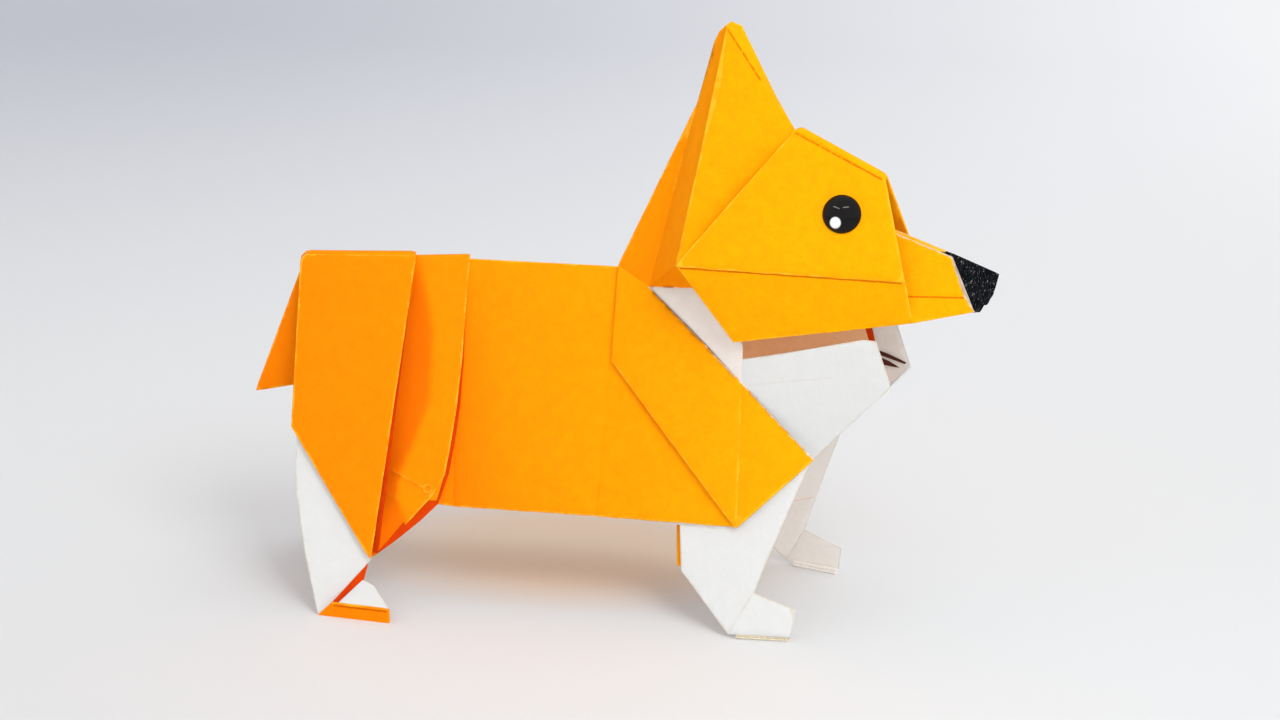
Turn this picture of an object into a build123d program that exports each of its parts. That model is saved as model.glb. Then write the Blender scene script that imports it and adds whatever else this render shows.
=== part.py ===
from build123d import *
from math import radians, tan
import os

# A paper dog folded from one two-coloured square, with a stick-on eye on each cheek.
# X runs from tail to nose, Z is up, the ridge of the back lies over the X axis.
# Every flap is a flat panel of the sheet, and panels that share a crease meet in a rounded fold.
# Panels are laid out in side view as (x, z), and a leaning wall gives each point its distance
# from the middle plane. The near side has y below zero and the far side mirrors it.

# The sheet
sheet = 0.36            # thickness of a flap, a few plies pressed together
fold_radius = 0.21      # rounded outside of a crease, a little over half the sheet
layer_step = 0.6        # from one layer of a pleat to the next

# The trunk, a tent that is open below
ridge_z = 44.8          # height of the back
wall_lean = 19.6        # degrees that each side wall leans out from the ridge
belly_z = 13.4          # lower edge of the side walls
crown_step = 0.4        # rise of the ridge with each outer layer

# The rump and the shoulders each turn on the back where the sheet is pleated
rear_pivot = -25.0
rear_turn = 16.0
front_pivot = -3.0
front_turn = -8.0

# The soles reach this far below the ground before they are pressed flat
sole_trim = 0.1

# The haunch and its two knife pleats
rump_x = -21.3
rump_rise = 0.4         # the back rises this much from the haunch edge to the rump
haunch_edge_x = -6.0
haunch_knee = (-22.9, 24.2)
haunch_tip = (-12.8, 7.3)
haunch_pleat_depth = 5.4
haunch_pleat_reach = 0.8    # share of the edge that the hidden return runs down
haunch_hem = 3.0        # width of the flap turned in along the back edge
haunch_hem_z = 38.0     # height where that flap starts
band_edge_x = 1.3
band_edge = [(-0.1, 31.8), (-1.9, 21.0), (-3.8, 14.3)]
band_tip = (-12.4, 7.4)
band_pleat_depth = 5.0

# The hind leg and its foot
hind_leg_top = [(-14.0, 33.0), (-21.6, 33.0)]
hind_leg_back = [(-22.4, 21.0), (-22.5, 15.7), (-21.4, 7.7)]
hind_heel_x = -19.8
hind_leg_tip = (-12.8, 6.8)
hind_toe_x = -10.4
hind_toe_out = 3.8      # how far the toe stands outside the heel
hind_hem = 1.9          # height of the turned-up edge of the foot
hind_instep = (-13.2, 12.9, 5.2)
hind_instep_front = (-11.6, 15.2, 3.5)

# The tail, a narrow ridge of two faces
tail_root_x = -20.6
tail_tip = (-28.0, 26.9)
tail_front = (-18.0, 29.0)
tail_half_width = 2.2

# The shoulder flap
shoulder_top_x = 0.3
shoulder_corner = (0.9, 33.2)
shoulder_tip = (20.7, 14.1)
shoulder_front = (29.9, 23.3)
shoulder_crease = (19.2, 31.9)
shoulder_neck = (4.9, 42.8)
shoulder_pleat_depth = 4.0
breast_turn = 0.8       # the front of the flap turns in this much at its corner
wall_fold_z = 23.2      # height where the hidden edge of the wall under the flap turns

# The front leg and its foot
front_leg_back = [(12.7, 24.6), (12.7, 13.3), (13.6, 7.7)]
front_heel = (21.0, 0.6)
front_ankle = (23.7, 5.9)
front_leg_edge = [(25.5, 11.8), (29.4, 22.9), (27.4, 24.6)]
front_leg_pocket = 1.3  # the inner layer of the leg opens this far from the outer one
front_sole_x = 22.1
front_toe_x = 28.9
front_toe_top = (29.3, 4.1)
front_toe_in = 1.4      # how far the toe stands inside the heel

# The neck and the white breast
neck_rise = 23.1        # from the back to the top of the neck ridge
neck_top_x = 11.2
collar_front_x = 19.2
collar_outline = [(4.6, 43.0), (12.2, 46.0), (17.4, 42.0), (19.2, 37.0)]
collar_seat = [(19.2, 29.9), (4.2, 40.9)]
collar_neck_w = 1.0
breast_half_width = 5.0
breast_top = [(19.2, 35.1), (25.9, 36.7), (35.6, 39.3), (37.3, 39.3)]
breast_point = (39.4, 33.4)
breast_seat = [(26.0, 19.3), (19.2, 26.4)]

# The head, measured up from the back
brow_back = (24.8, 0.9, 20.5)
brow_front = (36.8, 0.6, 15.0)
cheek_flare = 18.0      # degrees that each cheek leans out from the brow
cheek_corner = (11.4, 3.4)
cheek_crease_front = (40.6, 2.7)
jaw_front = (41.6, 3.4, -2.9)
jaw_back = (18.7, -6.7)
ear_tip = (15.5, 1.2, 33.8)
throat_corner = (13.2, 7.0, 0.0)

# The muzzle, a narrow ridge that comes out between the cheeks
muzzle_root = (28.0, 11.6)
muzzle_ridge = [(38.2, 8.1), (46.0, 5.6)]
muzzle_ridge_out = 0.25 # from the middle plane to the upper edge of each side
muzzle_back = (30.5, -4.8)
muzzle_end = (48.6, -1.1)
muzzle_wrap = [(46.1, 5.5), (48.3, 1.0), (49.6, -1.0)]
muzzle_crease = [(40.7, 0.3), (48.5, 0.6)]
wrap_step = 0.3         # how far the outer layer of the muzzle stands off the nose layer
nose_tip = (51.9, 3.5)
nose_end = [(51.0, 0.6), (50.1, -1.0)]

# The eyes
eye_diameter = 5.0
eye_skirt = 0.4
eye_dome = 1.2
eye_place = (31.9, 10.5)

near = -1
far = 1
wall_slope = tan(radians(wall_lean))


def corner(side, point):
    """A point given as distance forward, distance from the middle plane and height."""
    x, out, z = point
    return Vector(x, side * out, z)


def wall(layer, place):
    """The point of a leaning wall that is seen at this place in side view."""
    x, z = place
    return (x, layer * layer_step + (ridge_z - z) * wall_slope, z)


def on_plane(a, b, c, place):
    """The point at this place in side view on the plane through three points."""
    normal = (Vector(*b) - Vector(*a)).cross(Vector(*c) - Vector(*a))
    x, z = place
    out = a[1] - (normal.X * (x - a[0]) + normal.Z * (z - a[2])) / normal.Y
    return (x, out, z)


def from_back(point):
    """Lifts the height of a point of the head from the back of the dog."""
    return (*point[:-1], ridge_z + point[-1])


def panel(side, *points):
    """One flat flap through its corners, half the sheet to each side."""
    outline = Wire.make_polygon([corner(side, point) for point in points], close=True)
    return extrude(Face(outline), amount=sheet / 2, both=True)


def bridge(*points):
    """A flat flap across the middle plane, mirrored corners included."""
    ring = [corner(near, point) for point in points]
    ring += [corner(far, point) for point in reversed(points)]
    return extrude(Face(Wire.make_polygon(ring, close=True)), amount=sheet / 2, both=True)


def crease(side, *points, radius=fold_radius):
    """The rounded fold along a line of corners."""
    corners = [corner(side, point) for point in points]
    rounds = []
    for start, end in zip(corners, corners[1:]):
        along = end - start
        rounds.append(Solid.make_cylinder(radius, along.length, Plane(origin=start, z_dir=along)))
    return rounds


def crown(layer, x, rise=0.0):
    """The upper edge of a wall layer, close under the ridge."""
    return wall(layer, (x, ridge_z + layer * crown_step + rise))


def pleat(side, edge, depth, reach=1.0, layers=1):
    """The hidden return of a fold, from an outer edge back to a layer below."""
    inner = [(x - depth, out - layers * layer_step, z) for x, out, z in edge]
    inner[-1] = tuple(a + reach * (b - a) for a, b in zip(inner[-2], inner[-1]))
    flaps = crease(side, *edge)
    for i in range(len(edge) - 1):
        flaps.append(panel(side, edge[i], edge[i + 1], inner[i + 1], inner[i]))
    return flaps


def bend_shift(side, turn, z):
    """How far along the trunk a wall meets the wall of a section that turns on the back."""
    return -side * (ridge_z - z) * wall_slope * tan(radians(turn / 2))


def trunk(side):
    """The side wall between the rump and the shoulders."""
    back = [wall(0, (x, ridge_z)) for x in (rear_pivot, front_pivot)]
    rear = wall(0, (rear_pivot + bend_shift(side, rear_turn, belly_z), belly_z))
    front = wall(0, (front_pivot + bend_shift(side, front_turn, belly_z), belly_z))
    return [panel(side, back[0], back[1], front, rear)]


def haunch(side):
    """The outer flap of the rump, pleated along its front edge and turned in along its back."""
    rump = crown(2, rump_x, rump_rise)
    edge = crown(2, haunch_edge_x)
    tip = wall(2, haunch_tip)
    knee = wall(2, haunch_knee)
    run = (rump[2] - haunch_hem_z) / (rump[2] - knee[2])
    hem = wall(2, (rump[0] + run * (knee[0] - rump[0]), haunch_hem_z))
    flaps = [panel(side, rump, edge, tip, knee)] + crease(side, rump, edge)
    flaps += pleat(side, [edge, tip], haunch_pleat_depth, haunch_pleat_reach)
    return flaps + pleat(side, [hem, knee], -haunch_hem, layers=2)


def haunch_band(side):
    """The band between the two knife pleats, with a curved front edge."""
    valley = crown(1, haunch_edge_x - haunch_pleat_depth)
    foot = [a + haunch_pleat_reach * (b - a) for a, b in zip((haunch_edge_x, ridge_z), haunch_tip)]
    edge = [crown(1, band_edge_x)] + [wall(1, place) for place in band_edge]
    hidden = wall(1, (foot[0] - haunch_pleat_depth, foot[1]))
    flap = panel(side, valley, *edge, wall(1, band_tip), hidden)
    return [flap] + crease(side, valley, edge[0]) + pleat(side, edge, band_pleat_depth)


def flank(side):
    """The part of the side wall that runs on below the band, behind the bend in the back."""
    bend = wall(0, (-bend_shift(side, rear_turn, belly_z), belly_z))
    valley = [wall(0, (x - band_pleat_depth, z)) for x, z in [(band_edge_x, ridge_z)] + band_edge]
    return [panel(side, wall(0, (0, ridge_z)), *valley, bend)]


def hind_leg(side):
    """The white leg below the haunch and its foot, which turns out and has a turned-up edge."""
    tip = wall(0, hind_leg_tip)
    heel = wall(0, (hind_heel_x, -sole_trim))
    back = [wall(0, place) for place in hind_leg_back]
    leg = panel(side, *[wall(0, place) for place in hind_leg_top], *back, heel, tip)
    toe = (hind_toe_x, heel[1] + hind_toe_out, -sole_trim)
    hem = [(x, out, hind_hem) for x, out, z in (heel, toe)]
    instep = on_plane(hem[0], hem[1], hind_instep, (hind_instep_front[0], hind_instep_front[2]))
    foot = [panel(side, heel, toe, hem[1], hem[0]), panel(side, hem[0], hem[1], instep, hind_instep)]
    folds = crease(side, heel, tip) + crease(side, *hem) + crease(side, heel, hem[0], hind_instep)
    return [leg] + foot + folds


def tail(side):
    """One face of the tail, a narrow ridge that hangs from the rump."""
    root = (tail_root_x, 0, ridge_z + 2 * crown_step + rump_rise - fold_radius)
    tip = (tail_tip[0], 0, tail_tip[1])
    lower = (tail_front[0], tail_half_width, tail_front[1])
    upper = on_plane(root, tip, lower, (tail_front[0], ridge_z))
    return [panel(side, root, tip, lower, upper)] + crease(side, root, tip)


def shoulder(side):
    """The orange flap over the front of the trunk, creased down from its upper edge."""
    top = crown(1, shoulder_top_x)
    back = wall(1, shoulder_corner)
    tip = wall(1, shoulder_tip)
    bend = wall(1, shoulder_crease)
    neck = wall(1, shoulder_neck)
    x, out, z = wall(1, shoulder_front)
    front = (x, out - breast_turn, z)
    flaps = [panel(side, top, back, tip, bend, neck), panel(side, bend, tip, front)]
    return flaps + crease(side, bend, tip) + pleat(side, [top, back], -shoulder_pleat_depth)


def front_wall(side):
    """The side wall below the shoulder flap, whose lower edge shows as far as the flap's tip."""
    bend = wall(0, (-bend_shift(side, front_turn, belly_z), belly_z))
    back = [wall(0, (x, ridge_z)) for x in (0, shoulder_top_x + shoulder_pleat_depth)]
    fold = wall(0, (shoulder_crease[0], wall_fold_z))
    return [panel(side, *back, fold, wall(0, shoulder_tip), bend)] + crease(side, *back)


def front_leg(side):
    """The white leg below the shoulder, a pocket of two layers, and its foot."""
    heel = wall(-1, front_heel)
    ankle = wall(-1, front_ankle)
    edge = [wall(-1, place) for place in front_leg_edge]
    back = [wall(-1, place) for place in front_leg_back]
    outer = panel(side, *back, heel, ankle, *edge)
    low = (back[-1][0], back[-1][1] - front_leg_pocket, back[-1][2])
    pocket = [on_plane(edge[0], edge[1], low, place) for place in front_leg_back]
    inner = panel(side, *pocket, edge[0], edge[1])
    leg = [outer, inner] + crease(side, edge[0], edge[1])
    hinge = crease(side, back[0], edge[2], radius=layer_step)
    toe = (front_toe_x, heel[1] - front_toe_in, -sole_trim)
    sole = on_plane(heel, toe, ankle, (front_sole_x, -sole_trim))
    foot = panel(side, heel, sole, toe, on_plane(heel, toe, ankle, front_toe_top), ankle)
    return leg + hinge + [foot] + crease(side, heel, ankle)


def neck(side):
    """The faces between the ridge of the neck and the back edge of the ear."""
    foot = crown(1, shoulder_top_x)
    top = (neck_top_x, 0, ridge_z + neck_rise)
    fork = wall(1, shoulder_neck)
    tip = from_back(ear_tip)
    side_corner = cheek_point(cheek_corner)
    throat = from_back(throat_corner)
    flaps = [panel(side, top, foot, fork), panel(side, top, fork, side_corner)]
    flaps += [panel(side, top, side_corner, tip), panel(side, fork, throat, side_corner)]
    return flaps + crease(side, foot, fork, top, foot) + crease(side, fork, side_corner, tip, top)


def cheek_point(place):
    """A point of the upper cheek, which leans out from the brow."""
    back = from_back(brow_back)
    front = from_back(brow_front)
    low = (front[0], front[1] + tan(radians(cheek_flare)), front[2] - 1)
    x, rise = place
    return on_plane(back, front, low, (x, ridge_z + rise))


def head(side):
    """The ear, the upper cheek and the lower cheek of one side."""
    brow = [from_back(brow_back), from_back(brow_front)]
    back = cheek_point(cheek_corner)
    front = cheek_point(cheek_crease_front)
    jaw = from_back(jaw_front)
    chin = on_plane(back, front, jaw, (jaw_back[0], ridge_z + jaw_back[1]))
    tip = from_back(ear_tip)
    ear = panel(side, tip, brow[0], back)
    cheek = [panel(side, *brow, front, back), panel(side, back, front, jaw, chin)]
    return [ear] + cheek + crease(side, *brow) + crease(side, back, front)


def muzzle(side):
    """One side of the muzzle and the lining that joins it to the lower edge of the cheek."""
    ridge = [(x, muzzle_ridge_out, ridge_z + rise) for x, rise in (muzzle_ridge[0], nose_tip)]
    jaw = from_back(jaw_front)
    places = [muzzle_ridge[1], nose_tip, *nose_end, muzzle_end, jaw_front[::2], muzzle_back, muzzle_root]
    outline = [on_plane(*ridge, jaw, (x, ridge_z + rise)) for x, rise in places]
    wrap_places = [muzzle_ridge[0], *muzzle_wrap, jaw_front[::2], muzzle_crease[0], *muzzle_crease]
    wrap = [on_plane(*ridge, jaw, (x, ridge_z + rise)) for x, rise in wrap_places]
    wrap = [(x, out + wrap_step, z) for x, out, z in wrap]
    flaps = [panel(side, ridge[0], *outline), panel(side, *wrap[:6])]
    return flaps + crease(side, ridge[0], outline[0], outline[1]) + crease(side, *wrap[6:])


def breast(side):
    """The white collar and the breast wall below it."""
    spring = (collar_outline[0][0], collar_neck_w, collar_outline[0][1])
    hinge = [(collar_front_x, breast_half_width, z) for z in (breast_top[0][1], collar_seat[0][1])]
    places = collar_outline + [breast_top[0]] + collar_seat
    collar = [on_plane(spring, *hinge, place) for place in places]
    front = [breast_point, breast_seat[0]]
    outline = [(x, breast_half_width, z) for x, z in breast_top + front + breast_seat[1:]]
    keel = [(x, breast_half_width, z) for x, z in front]
    return [panel(side, *collar), panel(side, *outline)] + crease(side, *hinge) + crease(side, *keel)


def section(pivot, turn, parts):
    """Turns a section of the dog on the ridge of its back."""
    return [Pos(pivot, 0, 0) * Rot(0, 0, turn) * part for part in parts]


def folded_sheet():
    """The whole sheet as one solid, with its soles pressed flat on the ground."""
    rear = [bridge(crown(2, rump_x, rump_rise), crown(2, haunch_edge_x))]
    rear.append(bridge(crown(1, haunch_edge_x - haunch_pleat_depth), crown(1, band_edge_x)))
    front = [bridge(from_back(brow_back), from_back(brow_front))]
    front.append(bridge(*[(x, breast_half_width, z) for x, z in (breast_point, breast_seat[0])]))
    middle = crease(near, wall(0, (rear_pivot, ridge_z)), wall(0, (front_pivot, ridge_z)))
    for side in (near, far):
        rear += haunch(side) + haunch_band(side) + flank(side) + hind_leg(side) + tail(side)
        front += shoulder(side) + front_wall(side) + front_leg(side)
        front += neck(side) + head(side) + muzzle(side) + breast(side)
        middle += trunk(side)
    flaps = middle + section(rear_pivot, rear_turn, rear) + section(front_pivot, front_turn, front)
    span = 4 * ridge_z
    ground = Pos(0, 0, -ridge_z / 2) * Box(span, span, ridge_z)
    return flaps[0].fuse(*flaps[1:]) - ground


def eye(side):
    """A domed disc with a flat back, seated on the outside of a cheek."""
    radius = eye_diameter / 2
    height = eye_skirt + eye_dome
    ball = (radius ** 2 + eye_dome ** 2) / (2 * eye_dome)
    disc = Cylinder(radius, height, align=(Align.CENTER, Align.CENTER, Align.MIN))
    dome = disc & Pos(0, 0, height - ball) * Sphere(ball)
    cheek = (from_back(brow_back), from_back(brow_front), cheek_point(eye_place))
    seat = [corner(side, point) for point in cheek]
    normal = (seat[1] - seat[0]).cross(seat[2] - seat[0]).normalized()
    if normal.Y * side < 0:
        normal = -normal
    return Plane(origin=seat[2] + normal * (sheet / 2), z_dir=normal) * dome


whole = folded_sheet()
extent = whole.bounding_box()
centre = extent.center()
to_origin = Pos(-centre.X, -centre.Y, -extent.min.Z)
nodes = {"folded_sheet": to_origin * whole}
for name, side in (("eye_right", near), ("eye_left", far)):
    nodes[name] = to_origin * section(front_pivot, front_turn, [eye(side)])[0]
os.makedirs("parts", exist_ok=True)
for name, shape in nodes.items():
    export_step(shape, f"parts/{name}.step")
    print(name, len(shape.solids()), "solid,", round(shape.volume, 1), "mm3")
print("moved to the origin by", [round(v, 3) for v in (-centre.X, -centre.Y, -extent.min.Z)])
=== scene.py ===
# %% [markdown]
# # A dog folded from one sheet of paper
#
# The real thing is a square of two-coloured paper, orange on its face and white on its back,
# folded into a small standing dog with a domed stick-on eye on each cheek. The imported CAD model
# gives its exact form as plain slabs. This scene lays real paper over that form: thin flaps with
# rounded folds, layered edges, worn crease lines and a fibrous surface.

# %% The frame that everything is built around
import math

import bpy
import numpy as np
from mathutils import Matrix, Vector, noise
from mathutils.geometry import delaunay_2d_cdt


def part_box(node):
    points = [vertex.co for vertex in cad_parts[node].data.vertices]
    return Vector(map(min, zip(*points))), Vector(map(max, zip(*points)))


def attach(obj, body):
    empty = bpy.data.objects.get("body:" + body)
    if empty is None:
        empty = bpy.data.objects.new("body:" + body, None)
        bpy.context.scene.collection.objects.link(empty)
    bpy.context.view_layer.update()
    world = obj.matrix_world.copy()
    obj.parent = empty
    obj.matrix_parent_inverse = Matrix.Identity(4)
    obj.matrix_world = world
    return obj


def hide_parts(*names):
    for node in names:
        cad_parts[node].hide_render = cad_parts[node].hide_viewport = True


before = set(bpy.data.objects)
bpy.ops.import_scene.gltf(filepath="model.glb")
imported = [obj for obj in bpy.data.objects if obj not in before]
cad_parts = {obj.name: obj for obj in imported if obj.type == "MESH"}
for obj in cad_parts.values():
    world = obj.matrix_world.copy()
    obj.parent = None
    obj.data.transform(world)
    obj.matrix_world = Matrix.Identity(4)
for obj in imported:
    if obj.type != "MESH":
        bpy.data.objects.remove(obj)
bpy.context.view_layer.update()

# %% [markdown]
# ## The camera
#
# The photograph looks at the dog's right side, a little from the front and from above. A long
# lens keeps the folds nearly parallel, as they are in the photograph. The camera comes first, so
# that every piece can be looked at as soon as it is made.

# %% The camera
aim = Vector((0.001804, 0.002888, 0.032054))
camera_azimuth = math.radians(12)
camera_elevation = math.radians(16)
camera_distance = 0.4054
toward = Vector((math.sin(camera_azimuth) * math.cos(camera_elevation),
                 -math.cos(camera_azimuth) * math.cos(camera_elevation),
                 math.sin(camera_elevation)))
camera_data = bpy.data.cameras.new("camera")
camera_data.lens = 84.375
camera_data.sensor_width = 36
camera_data.clip_start = 0.01


def linked(name, data):
    """A new object in the scene."""
    thing = bpy.data.objects.new(name, data)
    bpy.context.scene.collection.objects.link(thing)
    return thing


camera = linked("camera", camera_data)
camera.location = aim + toward * camera_distance
camera.rotation_euler = (-toward).to_track_quat("-Z", "Y").to_euler()
bpy.context.scene.camera = camera
bpy.context.scene.view_settings.view_transform = "Standard"
print("camera at", [round(v, 3) for v in camera.location])

# %% [markdown]
# ## The sizes of the dog
#
# Every flap is given as it is seen from the side: how far forward, and how high, in millimetres.
# A leaning wall then says how far each point lies from the middle plane. The rump and the front
# of the dog are each turned a little on the back, where the sheet is pleated, so there are three
# sections, and each has its own matrix from those millimetres to metres in the shared frame.

# %% Sizes and places that the whole dog shares
ridge_z, belly_z = 44.8, 13.4
wall_slope = math.tan(math.radians(19.6))
layer_step, crown_step = 0.6, 0.4      # from one pleat layer to the next, out from the wall and up
rear_pivot, rear_turn = -25.0, 16.0
front_pivot, front_turn = -3.0, -8.0
origin_move = Vector((1.804, 2.888, 0))
RIGHT, LEFT = -1, 1
SIDES = {"right": RIGHT, "left": LEFT}


def section(pivot, turn):
    """The matrix from a section's own millimetres to metres in the shared frame."""
    place = Matrix.Translation(origin_move + Vector((pivot, 0, 0)))
    return Matrix.Scale(0.001, 4) @ place @ Matrix.Rotation(math.radians(turn), 4, "Z")


REAR, MIDDLE, FRONT = section(rear_pivot, rear_turn), section(0, 0), section(front_pivot, front_turn)


def wall(layer, place):
    """A point of a leaning side wall. Layer 0 is the trunk, and each pleat lies a layer further out."""
    x, z = place
    return (x, layer * layer_step + (ridge_z - z) * wall_slope, z)


def crown(layer, x, rise=0.0):
    """The upper edge of a wall layer, close under the ridge."""
    return wall(layer, (x, ridge_z + layer * crown_step + rise))


def on_plane(a, b, c, place):
    """The point at this place in side view on the plane through three points."""
    normal = (Vector(b) - Vector(a)).cross(Vector(c) - Vector(a))
    x, z = place
    return (x, a[1] - (normal.x * (x - a[0]) + normal.z * (z - a[2])) / normal.y, z)


def between(a, b, share):
    """The point that lies this share of the way from a to b."""
    return tuple(p + share * (q - p) for p, q in zip(a, b))


def shifted(points, x=0.0, out=0.0, up=0.0):
    """The same points, moved."""
    return [(a + x, b + out, c + up) for a, b, c in points]


def bend_x(side, turn, z):
    """How far along the trunk a wall meets the wall of a section that turns on the back."""
    return -side * (ridge_z - z) * wall_slope * math.tan(math.radians(turn / 2))


print("a wall leans out", round(wall(0, (0, belly_z))[1], 2), "mm at the belly")

# %% [markdown]
# ## Paper colours and finishes
#
# The finishes come before the shapes, because each flap is told which finish its face, its back
# and its edges have. Two effects are shared by more than one finish, so each is a node group: the
# cloudy, fibrous surface of paper, which also tells how far forward a point lies for a painted
# shade towards the rump, and the ragged line along a fold where the colour has worn off, which
# also gives painted shade along pressed grooves. The flaps carry numbers at every vertex for
# this, such as the distances to the nearest fold and to the nearest raw edge, in millimetres.

# %% Helpers that fill a node tree. A value is a number, a colour or another node's socket.


def add(tree, kind, values=None, **settings):
    """Adds a node, sets its properties, and sets or links its sockets."""
    node = tree.nodes.new(kind)
    for name, value in settings.items():
        setattr(node, name, value)
    for key, value in (values or {}).items():
        socket = node.inputs[key]
        if isinstance(value, bpy.types.NodeSocket):
            tree.links.new(value, socket)
        else:
            socket.default_value = (*value, 1) if socket.type == "RGBA" else value
    return node


def tree_of(*values):
    """The node tree that the sockets among some values are from."""
    return next(v for v in values if isinstance(v, bpy.types.NodeSocket)).id_data


def join(value, socket):
    """Links a result to a socket."""
    socket.id_data.links.new(value, socket)


def maths(operation, a, b, clamp=False):
    """One Math node's result."""
    return add(tree_of(a, b), "ShaderNodeMath", {0: a, 1: b}, operation=operation, use_clamp=clamp).outputs[0]


def plus(a, b):
    return maths("ADD", a, b)


def times(a, b):
    return maths("MULTIPLY", a, b)


def spread(value, low, high):
    """Rescales low to high onto 0 to 1 with soft ends."""
    return add(tree_of(value), "ShaderNodeMapRange", {"Value": value, "From Min": low, "From Max": high},
               interpolation_type="SMOOTHSTEP").outputs["Result"]


def blend(factor, a, b, mode="MIX"):
    """One colour over another by a factor."""
    return add(tree_of(factor, a), "ShaderNodeMix", {0: factor, 6: a, 7: b},
               data_type="RGBA", blend_type=mode).outputs[2]


def cloudy(vector, scale, detail, roughness=0.5):
    """A noise texture's value."""
    return add(tree_of(vector), "ShaderNodeTexNoise",
               {"Vector": vector, "Scale": scale, "Detail": detail, "Roughness": roughness}).outputs[0]


def stored(tree, name):
    """A number that the flaps carry at every vertex."""
    return add(tree, "ShaderNodeAttribute", attribute_name=name).outputs["Fac"]


def millimetres(tree):
    """The place on the object in millimetres."""
    place = add(tree, "ShaderNodeTexCoord").outputs["Object"]
    scaled = add(tree, "ShaderNodeVectorMath", {0: place, 1: (1000, 1000, 1000)}, operation="MULTIPLY")
    return scaled.outputs[0]


def ends_of(tree):
    """What a node group is given, and where its results go."""
    return tree.nodes.new("NodeGroupInput").outputs, tree.nodes.new("NodeGroupOutput").inputs


def node_group(name, inputs, outputs):
    """A new shader node group with named numbers in and out, and its two ends."""
    tree = bpy.data.node_groups.new(name, "ShaderNodeTree")
    for key, value in inputs.items():
        tree.interface.new_socket(key, in_out="INPUT", socket_type="NodeSocketFloat").default_value = value
    for key in outputs:
        tree.interface.new_socket(key, in_out="OUTPUT", socket_type="NodeSocketFloat")
    return tree, *ends_of(tree)


# %% [markdown]
# Paper is a felt of fibres. Seen close, its colour is cloudy over a millimetre or two, speckled
# over a few tenths of one, and its surface is very slightly rough. One group gives the clouding
# as a value for the colour, the roughness as a height for a bump, and how far forward on the dog
# a point lies, for a painted shade that makes the coat darker and redder towards the rump.

# %% The fibrous surface of paper
fibres, given, result = node_group("paper fibres", {"Cloud size": 1.6, "Speck size": 0.22},
                                   ["Cloud", "Height", "Along"])
mm = millimetres(fibres)
cloud = cloudy(mm, maths("DIVIDE", 1.0, given["Cloud size"]), 3.0, 0.6)
speck = cloudy(mm, maths("DIVIDE", 1.0, given["Speck size"]), 4.0, 0.7)
strands = add(fibres, "ShaderNodeTexWave", {"Vector": mm, "Scale": 0.35, "Distortion": 18.0, "Detail": 4.0,
                                            "Detail Scale": 1.6}).outputs[1]
join(plus(times(cloud, 0.5), times(speck, 0.5)), result["Cloud"])
join(plus(times(speck, 0.8), times(strands, 0.2)), result["Height"])
axes = add(fibres, "ShaderNodeSeparateXYZ", {0: mm}).outputs
join(spread(plus(axes[0], times(axes[2], 0.3)), -36.5, 48.5), result["Along"])
print("group", fibres.name)

# %% [markdown]
# Where paper is folded hard, the coloured coat cracks and the pale core shows as a thin ragged
# line. The mask is the distance to the fold, pushed in and out by noise along it, so that the
# line breaks up and frays as real ones do. Raw edges are found the same way, and so are pressed
# marks, along which the finish paints shade into the groove.

# %% The worn line along a fold, and the painted shade along a pressed groove
wear_and_groove_shade, given, result = node_group("worn fold and groove shade", {"Width": 0.16, "Raggedness": 0.2}, ["Line", "Groove shade", "Bare"])
mm = millimetres(wear_and_groove_shade)
push = times(maths("SUBTRACT", cloudy(mm, 1.3, 5.0, 0.75), 0.5), times(given["Raggedness"], 4.0))
strength = plus(times(spread(cloudy(mm, 0.45, 3.0), 0.38, 0.6), 0.75), 0.25)
wide = times(given["Width"], 1.5)


def near(name, core, reach, pushed):
    """A line along every edge of one kind, full up to its core and gone at its reach."""
    return maths("SUBTRACT", 1.0, spread(plus(stored(wear_and_groove_shade, name), pushed), core, reach), clamp=True)


join(times(near("fold", times(given["Width"], 0.3), given["Width"], push), strength), result["Line"])
join(near("raw", times(wide, 0.3), wide, push), result["Bare"])
# The mask along pressed marks is for painted shade in the groove.
join(near("mark", 0.057, 0.19, times(push, 0.3)), result["Groove shade"])
print("group", wear_and_groove_shade.name)

# %% [markdown]
# Each finish keeps its own Principled shader and gives the groups its own values. The orange
# coat is matt, with painted shade: deep orange where a flap is sunk or given a shade share,
# redder towards the rump and darker in pressed grooves. The white back is plainer, with a painted
# glow. Other finishes paint warm shade inside, dark shade in the roots of pleats, near-black shade
# in the gaps between plies, and a stronger glow on white. The raw edge shows the pale plies, and
# the nose was blackened with a pen, so its finish has strokes and missed specks.

# %% The finishes of the sheet


def place_group(tree, group, **values):
    """Puts a node group in a material with its own values."""
    values = {name.replace("_", " "): value for name, value in values.items()}
    return add(tree, "ShaderNodeGroup", values, node_tree=group).outputs


def finish_of(name, roughness, specular):
    """A new material, its tree and the sockets of its Principled shader."""
    material = bpy.data.materials.new(name)
    material.use_nodes = True
    shader = material.node_tree.nodes["Principled BSDF"].inputs
    shader["Roughness"].default_value = roughness
    shader["Specular IOR Level"].default_value = specular
    return material, material.node_tree, shader


def roughen(tree, height, strength, shader):
    """Feeds a height of up to 0.08 mm to a finish as a bump."""
    relief = add(tree, "ShaderNodeBump", {"Height": height, "Strength": strength, "Distance": 0.00008})
    join(relief.outputs[0], shader["Normal"])


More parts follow.
